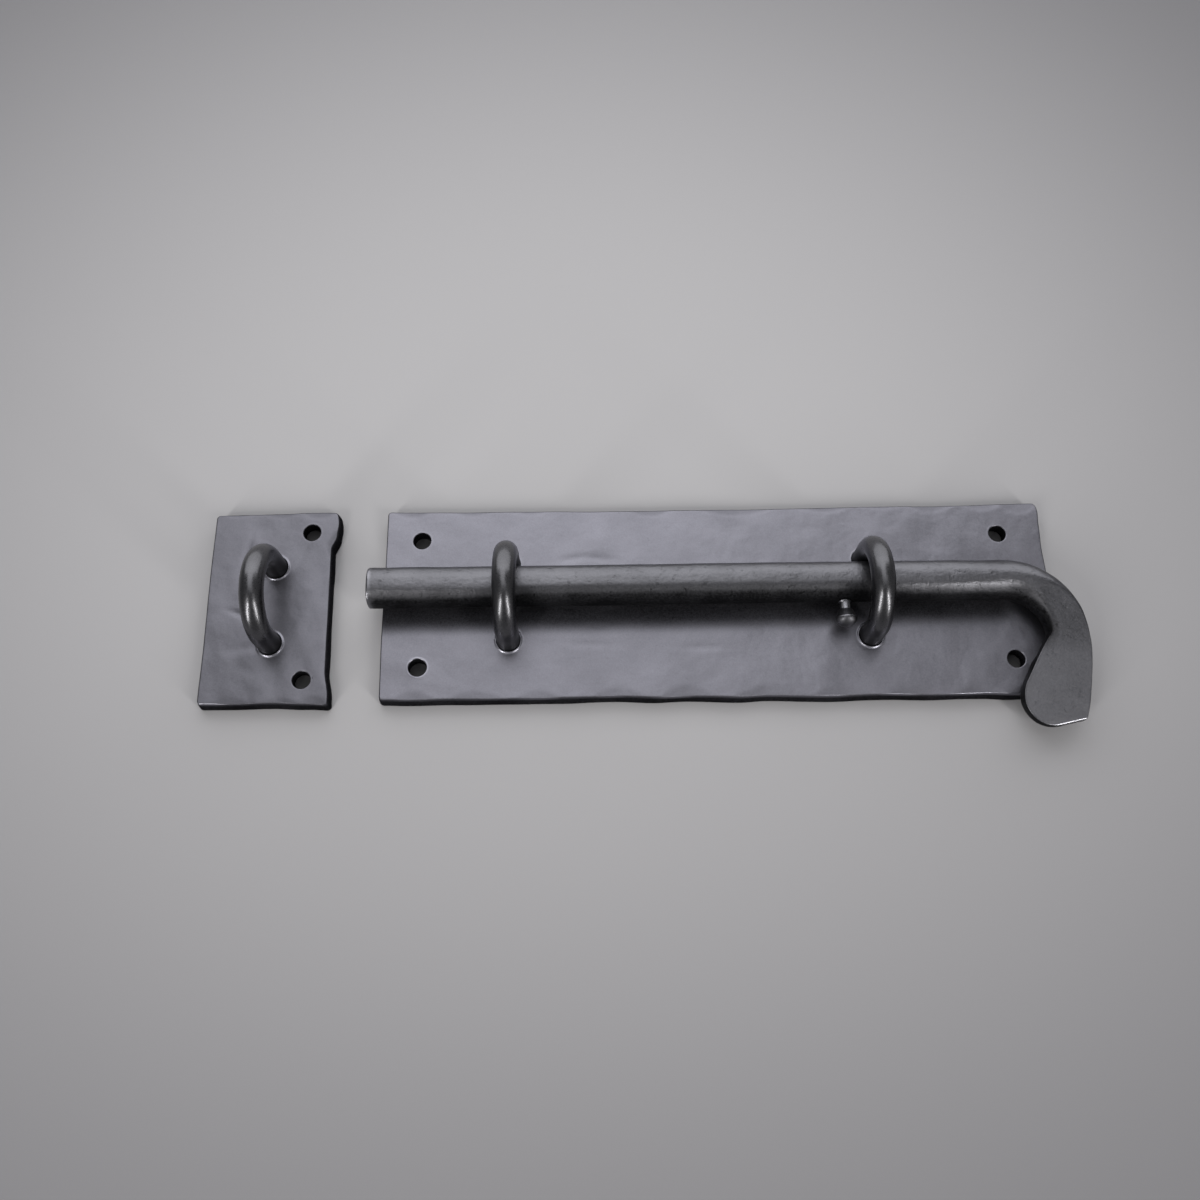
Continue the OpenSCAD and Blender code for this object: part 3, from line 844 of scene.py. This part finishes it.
def feed(tree, node, inputs):
    """Links each input that is given as a socket, and sets each other one as a plain value."""
    for key, value in inputs.items():
        if isinstance(value, bpy.types.NodeSocket):
            tree.links.new(value, node.inputs[key])
        else:
            node.inputs[key].default_value = value


def add_node(tree, kind, inputs=None, **settings):
    """Adds a shader node of a kind with its settings, and feeds its inputs."""
    node = tree.nodes.new(f"ShaderNode{kind}")
    for key, value in settings.items():
        setattr(node, key, value)
    feed(tree, node, inputs or {})
    return node


def math_node(tree, operation, *values, clamp=False):
    """Adds a Math node on the values, in their order, and gives its output."""
    return add_node(tree, "Math", dict(enumerate(values)), operation=operation, use_clamp=clamp).outputs[0]


def new_group(name, inputs, outputs):
    """Makes a node group with its named sockets: inputs (name, kind, default) and outputs (name, kind). Gives the
    group, its inputs as a collection of sockets, and the node that takes its outputs."""
    group = bpy.data.node_groups.new(name, "ShaderNodeTree")
    for label, kind, value in inputs:
        socket = group.interface.new_socket(name=label, in_out="INPUT", socket_type=f"NodeSocket{kind}")
        socket.default_value = value
    for label, kind in outputs:
        group.interface.new_socket(name=label, in_out="OUTPUT", socket_type=f"NodeSocket{kind}")
    return group, group.nodes.new("NodeGroupInput").outputs, group.nodes.new("NodeGroupOutput")


def new_material(name):
    """Makes a node material. Gives the material, its tree and its Principled shader."""
    material = bpy.data.materials.new(name)
    material.use_nodes = True
    return material, material.node_tree, material.node_tree.nodes["Principled BSDF"]


def blackened_group():
    """The node group of blackened iron, built once. A slow noise mottles the colour between darker and lighter, a fine
    grain and small pits vary the roughness and the height, places with Painted light and wear above 0 (wear and
    painted highlights) get a little lighter and smoother, and places below 0 (painted shade, and the darker hammer
    marks) darker and rougher."""
    name = "blackened_iron"
    if name in bpy.data.node_groups:
        return bpy.data.node_groups[name]
    group, given, leave = new_group(
        name,
        (("Colour", "Color", (0.07, 0.07, 0.08, 1)), ("Painted light and wear", "Float", 0.0), ("Mottle", "Float", 0.15),
         ("Mottle size", "Float", 0.012), ("Grain size", "Float", 0.0006), ("Pits", "Float", 0.3),
         ("Roughness", "Float", 0.38), ("Lightening gain", "Float", 0.35)),
        (("Colour", "Color"), ("Roughness", "Float"), ("Height", "Float")))
    place = add_node(group, "TexCoord").outputs["Object"]
    painted_shade_darkening, darkest = 0.85, 0.1
    pit_spacing, pit_from, pit_gain = 2.6, 0.60, 4.0
    smoothest, roughest = 0.12, 0.8

    def maths(operation, *values, clamp=False):
        return math_node(group, operation, *values, clamp=clamp)

    def noise(size, detail, rough):
        return add_node(group, "TexNoise", {"Detail": detail, "Roughness": rough, "Vector": place,
                                            "Scale": maths("DIVIDE", 1.0, size)}).outputs["Fac"]

    slow = noise(given["Mottle size"], 3.0, 0.5)
    grain = noise(given["Grain size"], 4.0, 0.6)
    pit_noise = noise(maths("MULTIPLY", given["Grain size"], pit_spacing), 2.0, 0.5)
    pits = maths("MULTIPLY", maths("SUBTRACT", pit_noise, pit_from, clamp=True), pit_gain, clamp=True)
    pits = maths("MULTIPLY", pits, given["Pits"])
    swing = maths("MULTIPLY", maths("SUBTRACT", slow, 0.5), maths("MULTIPLY", given["Mottle"], 4.0))
    fine = maths("MULTIPLY", maths("SUBTRACT", grain, 0.5), 0.5)
    # above 0: wear and painted highlights; below 0: painted shade and darker hammer marks
    wear_and_highlight = maths("MAXIMUM", given["Painted light and wear"], 0.0)
    painted_shade_part = maths("MAXIMUM", maths("MULTIPLY", given["Painted light and wear"], -1.0), 0.0)
    gain = maths("SUBTRACT", maths("MULTIPLY", wear_and_highlight, given["Lightening gain"]), maths("MULTIPLY", painted_shade_part, painted_shade_darkening))
    level = maths("ADD", maths("ADD", maths("ADD", 1.0, swing), fine), gain)
    level = maths("SUBTRACT", level, maths("MULTIPLY", pits, 0.5))
    shade = add_node(group, "VectorMath", {0: given["Colour"], "Scale": maths("MAXIMUM", level, darkest)},
                     operation="SCALE")
    rough = maths("ADD", given["Roughness"], maths("MULTIPLY", fine, 0.30))
    rough = maths("ADD", rough, maths("MULTIPLY", swing, -0.10))
    rough = maths("ADD", rough, maths("SUBTRACT", maths("MULTIPLY", painted_shade_part, 0.25), maths("MULTIPLY", wear_and_highlight, 0.05)))
    height = maths("SUBTRACT", maths("SUBTRACT", grain, 0.5), maths("MULTIPLY", pits, 1.4))
    kept = maths("SUBTRACT", 1.0, maths("MULTIPLY", wear_and_highlight, 0.8), clamp=True)
    feed(group, leave, {"Colour": shade.outputs[0], "Height": maths("MULTIPLY", height, kept),
                        "Roughness": maths("MINIMUM", maths("MAXIMUM", rough, smoothest), roughest)})
    return group


def forge_wave_group():
    """The node group of hammered or forged relief, built once: two noises, a broad one and one a third of its size,
    stretched along x by the given factor, as one height that fades where Painted light and wear is above 0."""
    name = "forge_relief"
    if name in bpy.data.node_groups:
        return bpy.data.node_groups[name]
    group, given, leave = new_group(
        name, (("Size", "Float", 0.006), ("Along x", "Float", 1.0), ("Painted light and wear", "Float", 0.0)), (("Height", "Float"),))
    place = add_node(group, "TexCoord").outputs["Object"]
    stretch = add_node(group, "CombineXYZ", {"X": math_node(group, "DIVIDE", 1.0, given["Along x"]), "Y": 1.0,
                                             "Z": 1.0}).outputs[0]
    stretched = add_node(group, "VectorMath", {0: place, 1: stretch}, operation="MULTIPLY").outputs[0]
    noises = ((1.0, 1.0), (3.1, 0.35))
    parts = []
    for times, weight in noises:
        noise = add_node(group, "TexNoise", {"Detail": 1.0, "Vector": stretched,
                                             "Scale": math_node(group, "DIVIDE", times, given["Size"])})
        parts.append(math_node(group, "MULTIPLY", noise.outputs["Fac"], weight))
    mean = sum(weight for _, weight in noises) / 2
    level = math_node(group, "SUBTRACT", math_node(group, "ADD", *parts), mean)
    kept = math_node(group, "MULTIPLY_ADD", given["Painted light and wear"], -1.2, 1.0, clamp=True)
    feed(group, leave, {"Height": math_node(group, "MULTIPLY", level, kept)})
    return group


def iron(name, colour, roughness, mottle, mottle_size, grain_size, pits, grain_depth, relief_size, relief_depth,
         along=1.0, lightening_gain=0.35, edge_tint=1.0):
    """A blackened iron material: the group's colour and roughness, and two bumps in real depths, the grain's on
    top of the forged relief's."""
    if name in bpy.data.materials:
        return bpy.data.materials[name]
    material, tree, shader = new_material(name)
    material.diffuse_color = (*colour, 1)
    painted_light_and_wear = add_node(tree, "Attribute", attribute_name="painted_light_and_wear").outputs["Fac"]
    skin = add_node(tree, "Group", {"Colour": (*colour, 1), "Mottle": mottle, "Mottle size": mottle_size,
                                    "Grain size": grain_size, "Pits": pits, "Roughness": roughness,
                                    "Lightening gain": lightening_gain, "Painted light and wear": painted_light_and_wear}, node_tree=blackened_group())
    relief = add_node(tree, "Group", {"Size": relief_size, "Along x": along, "Painted light and wear": painted_light_and_wear},
                      node_tree=forge_wave_group())
    broad = add_node(tree, "Bump", {"Distance": relief_depth, "Height": relief.outputs["Height"]})
    fine = add_node(tree, "Bump", {"Distance": grain_depth, "Height": skin.outputs["Height"],
                                   "Normal": broad.outputs["Normal"]})
    feed(tree, shader, {"Metallic": 1.0, "Specular Tint": (edge_tint, edge_tint, edge_tint, 1),
                        "Base Color": skin.outputs["Colour"], "Roughness": skin.outputs["Roughness"],
                        "Normal": fine.outputs["Normal"]})
    return material


def plate_material(name="blackened_hammered_plate", shade=1.0):
    """Satin black over hammered iron; the keeper's plate gets a darker copy of it, as painted shade."""
    finish = looks()[2]
    return iron(name, [shade * part for part in finish.plate_colour], finish.plate_roughness, 0.06, 0.014, 0.00045,
                0.25, 0.000008, 0.009, 0.00018, lightening_gain=0.5, edge_tint=0.35)


def bolt_material():
    """Satin black over forge scale, with a relief that is drawn out along the bar."""
    finish = looks()[2]
    return iron("blackened_forged_bar", finish.bar_colour, finish.bar_roughness, 0.10, 0.009, 0.0007, 0.8,
                0.00006, 0.0020, 0.00012, along=1.7, lightening_gain=0.9, edge_tint=0.8)


def staple_material():
    """Smooth satin black on the bent bars."""
    finish = looks()[2]
    return iron("blackened_bent_bar", finish.staple_colour, finish.staple_roughness, 0.08, 0.006, 0.0005, 0.2,
                0.000006, 0.004, 0.00005, lightening_gain=0.2)


def pin_material():
    """Satin black, filed smooth."""
    finish = looks()[2]
    return iron("blackened_turned_pin", finish.bar_colour, 0.38, 0.10, 0.003, 0.0004, 0.3,
                0.000008, 0.002, 0.00001, lightening_gain=1.0)


def weld_material():
    """Satin black over ground welds, with a relief across the grinding."""
    finish = looks()[2]
    return iron("blackened_ground_weld", finish.bar_colour, 0.45, 0.15, 0.003, 0.0004, 0.6,
                0.00002, 0.0012, 0.00003, along=0.3, lightening_gain=0.2)


# ---------------------------------------------------------------- stage


def matt(name, colour):
    """A matt studio surface. Gives the material, its tree and its shader."""
    material, tree, shader = new_material(name)
    feed(tree, shader, {"Roughness": 0.9, "Specular IOR Level": 0.2, "Base Color": (*colour, 1)})
    return material, tree, shader


def floor_material(studio):
    """The floor: its colour goes from the near to the further one with the distance from the object's middle, a
    painted falloff of the light, and far away it fades out into the room."""
    material, tree, shader = matt("studio_floor", studio.floor_colour)
    middle, squeeze = (-0.05, 0.078, 0), (1.0, 0.83, 1.0)
    shift = add_node(tree, "Mapping", {"Vector": add_node(tree, "TexCoord").outputs["Object"], "Location": middle,
                                       "Scale": squeeze}, vector_type="TEXTURE").outputs["Vector"]
    away = add_node(tree, "VectorMath", {0: shift}, operation="LENGTH").outputs["Value"]
    # painted falloff of the light over the floor
    further, gone = (add_node(tree, "MapRange", {"Value": away, "From Min": near, "From Max": far},
                              interpolation_type="SMOOTHSTEP").outputs["Result"]
                     for near, far in ((0.04, 0.42), (0.6, 1.8)))
    tint = add_node(tree, "Mix", {"Factor": further, "A": (*studio.floor_colour, 1), "B": (*studio.floor_edge, 1)},
                    data_type="RGBA").outputs["Result"]
    feed(tree, shader, {"Base Color": tint})
    clear = add_node(tree, "BsdfTransparent").outputs[0]
    surface = add_node(tree, "MixShader", {"Fac": gone, 1: shader.outputs[0], 2: clear}).outputs[0]
    feed(tree, tree.nodes["Material Output"], {"Surface": surface})
    return material


def painted_hole_shade(colour):
    """Painted shade in the screw holes: a dark disc under each hole, a little wider than the hole and just over the
    floor, for the deep shade at their bottoms."""
    count, radius, height = 32, 3.3, -0.02
    turn = np.linspace(0, 2 * np.pi, count, endpoint=False)
    circle = np.column_stack([radius * np.cos(turn), radius * np.sin(turn), np.full(count, height)])
    points = np.concatenate([circle + (x, y, 0) for x, y in PLATE_SCREWS + KEEPER_SCREWS]) / MM
    faces = np.arange(len(points)).reshape(-1, count)
    mesh_object("painted_hole_shade", points.tolist(), faces.tolist(), matt("shaded_floor", colour)[0])


def area_light(name, place, aim, size, power, colour):
    """A rectangular area light that faces the aim and that the camera doesn't see."""
    data = bpy.data.lights.new(name, "AREA")
    data.shape = "RECTANGLE"
    data.size, data.size_y = size
    data.energy, data.color = power, colour
    light = bpy.data.objects.new(name, data)
    light.location = place
    light.rotation_euler = (Vector(aim) - Vector(place)).to_track_quat("-Z", "Y").to_euler()
    light.visible_camera = False
    bpy.context.collection.objects.link(light)


def softbox_panel(studio):
    """The softbox overhead: a glowing panel, narrow in front and wide behind, whose brightness rises from its front
    end to its middle and falls again behind. It leans back over the object, and the camera doesn't see it."""
    long, height, tilt, shift_x = 2.94, 1.3, math.radians(-40.5), -0.07
    outline = ((-0.56, 1.0, -long / 2), (-0.56, 0.85, -1.0), (-0.57, 0.37, -0.78), (-0.58, 0.39, -0.3),
               (-1.5, 1.4, 0.14), (-1.9, 1.9, long / 2))
    brightness = ((0.0, studio.softbox_front), (0.12, 0.44), (0.16, 0.55), (0.29, 0.67), (0.38, 0.92), (0.5, 1.0),
                  (0.66, 0.8), (0.80, 0.7), (1.0, 0.7))
    material, tree, shader = new_material("softbox_glow")
    tree.nodes.remove(shader)
    place = add_node(tree, "SeparateXYZ", {0: add_node(tree, "TexCoord").outputs["Object"]}).outputs["Y"]
    share = add_node(tree, "MapRange", {"Value": place, "From Min": -long / 2, "From Max": long / 2})
    ramp = add_node(tree, "ValToRGB", {"Fac": share.outputs["Result"]})
    ramp.color_ramp.interpolation = "EASE"
    stops = ramp.color_ramp.elements
    for spot, value in brightness:
        stop = stops[0] if spot == 0 else stops[-1] if spot == 1 else stops.new(spot)
        stop.position, stop.color = spot, (value, value, value, 1)
    level = math_node(tree, "MULTIPLY", ramp.outputs["Color"], studio.softbox)
    glow = add_node(tree, "Emission", {"Strength": level}).outputs[0]
    feed(tree, tree.nodes["Material Output"], {"Surface": glow})
    corners = [(x, at, 0) for left, right, at in outline for x in (left, right)]
    faces = [(k, k + 2, k + 3, k + 1) for k in range(0, len(corners) - 2, 2)]
    panel = mesh_object("softbox", corners, faces, material)
    panel.matrix_world = Matrix.Rotation(tilt, 4, "X") @ Matrix.Translation((shift_x, 0.0, height))
    panel.visible_camera = False


def strip_lights(studio):
    """Two tall strip lights in front of the object, one on each side."""
    azimuth, lift, away = math.radians(43), math.radians(30), 0.9
    for name, side in (("strip_left", -1), ("strip_right", 1)):
        way = Vector((side * math.sin(azimuth) * math.cos(lift), -math.cos(azimuth) * math.cos(lift),
                      math.sin(lift)))
        area_light(name, way * away, (0, 0, 0.01), (0.09, 0.66), studio.strip, (1.0, 0.985, 0.95))


def studio_room(studio):
    """The room: one plain grey all round."""
    world = bpy.data.worlds.new("room")
    world.use_nodes = True
    feed(world.node_tree, world.node_tree.nodes["Background"], {"Color": (1, 1, 1, 1), "Strength": studio.room})
    return world


def photo_camera(studio):
    """The camera, fitted to the photograph: it looks at its target from the distance, elevation and yaw, and is
    then rolled."""
    yaw, roll, lift = math.radians(-2.673), math.radians(1.704), studio.elevation
    target = Vector((-0.03665, 0.00015, 0.0048))
    back = Vector((math.sin(yaw) * math.cos(lift), -math.cos(yaw) * math.cos(lift), math.sin(lift)))
    right = Vector((0, 0, 1)).cross(back).normalized()
    up = back.cross(right)
    right, up = (math.cos(roll) * right + math.sin(roll) * up, math.cos(roll) * up - math.sin(roll) * right)
    data = bpy.data.cameras.new("camera")
    data.sensor_width, data.lens = 36.0, studio.lens
    data.clip_start, data.clip_end = 0.01, 50.0
    camera = bpy.data.objects.new("camera", data)
    turn = Matrix((right, up, back)).transposed().to_4x4()
    camera.matrix_world = Matrix.Translation(target + back * studio.distance) @ turn
    bpy.context.collection.objects.link(camera)
    return camera


class STAGE_OT_all(Operator):
    """Makes the floor, the lights, the room and the camera"""
    bl_idname = "slide_bolt.stage"
    bl_label = "Stage"

    def execute(self, context):
        studio = looks()[3]
        side, under = 4.0, -0.00005
        corners = [(-side, -side, 0), (side, -side, 0), (side, side, 0), (-side, side, 0)]
        floor = mesh_object("floor", corners, [(0, 1, 2, 3)], floor_material(studio))
        floor.location.z = under
        # painted shade for the bottoms of the screw holes
        hole_shade = 0.22
        painted_hole_shade([hole_shade * part for part in studio.floor_colour])
        softbox_panel(studio)
        strip_lights(studio)
        context.scene.world = studio_room(studio)
        context.scene.camera = photo_camera(studio)
        context.scene.view_settings.view_transform = "Standard"
        return {"FINISHED"}


# ---------------------------------------------------------------- panel and start


class BOLT_PT_panel(Panel):
    """Lists the pieces and the stage in the 3D view's sidebar"""
    bl_idname = "BOLT_PT_panel"
    bl_label = "Slide bolt"
    bl_space_type = "VIEW_3D"
    bl_region_type = "UI"
    bl_category = "Slide bolt"

    def draw(self, context):
        layout = self.layout
        for group in looks():
            column = layout.column(align=True)
            for key in group.__annotations__:
                column.prop(group, key)
        for step in STEPS:
            layout.operator(step.bl_idname)


GROUPS = {"bolt_plate_looks": PlateLooks, "bolt_bar_looks": BarLooks, "bolt_finish_looks": FinishLooks,
          "bolt_studio_looks": StudioLooks}
STEPS = (STAGE_OT_all, PLATE_OT_back, PLATE_OT_keeper, STAPLE_OT_all, WELD_OT_all, PIN_OT_stop, BOLT_OT_slide)


def register():
    for kind in (*GROUPS.values(), *STEPS, BOLT_PT_panel):
        bpy.utils.register_class(kind)
    for name, kind in GROUPS.items():
        setattr(bpy.types.Scene, name, PointerProperty(type=kind))


def unregister():
    for name in GROUPS:
        delattr(bpy.types.Scene, name)
    for kind in reversed((*GROUPS.values(), *STEPS, BOLT_PT_panel)):
        bpy.utils.unregister_class(kind)


def main():
    """Makes the stage and every piece."""
    register()
    for step in STEPS:
        group, name = step.bl_idname.split(".")
        getattr(getattr(bpy.ops, group), name)()


if __name__ == "__main__":
    main()
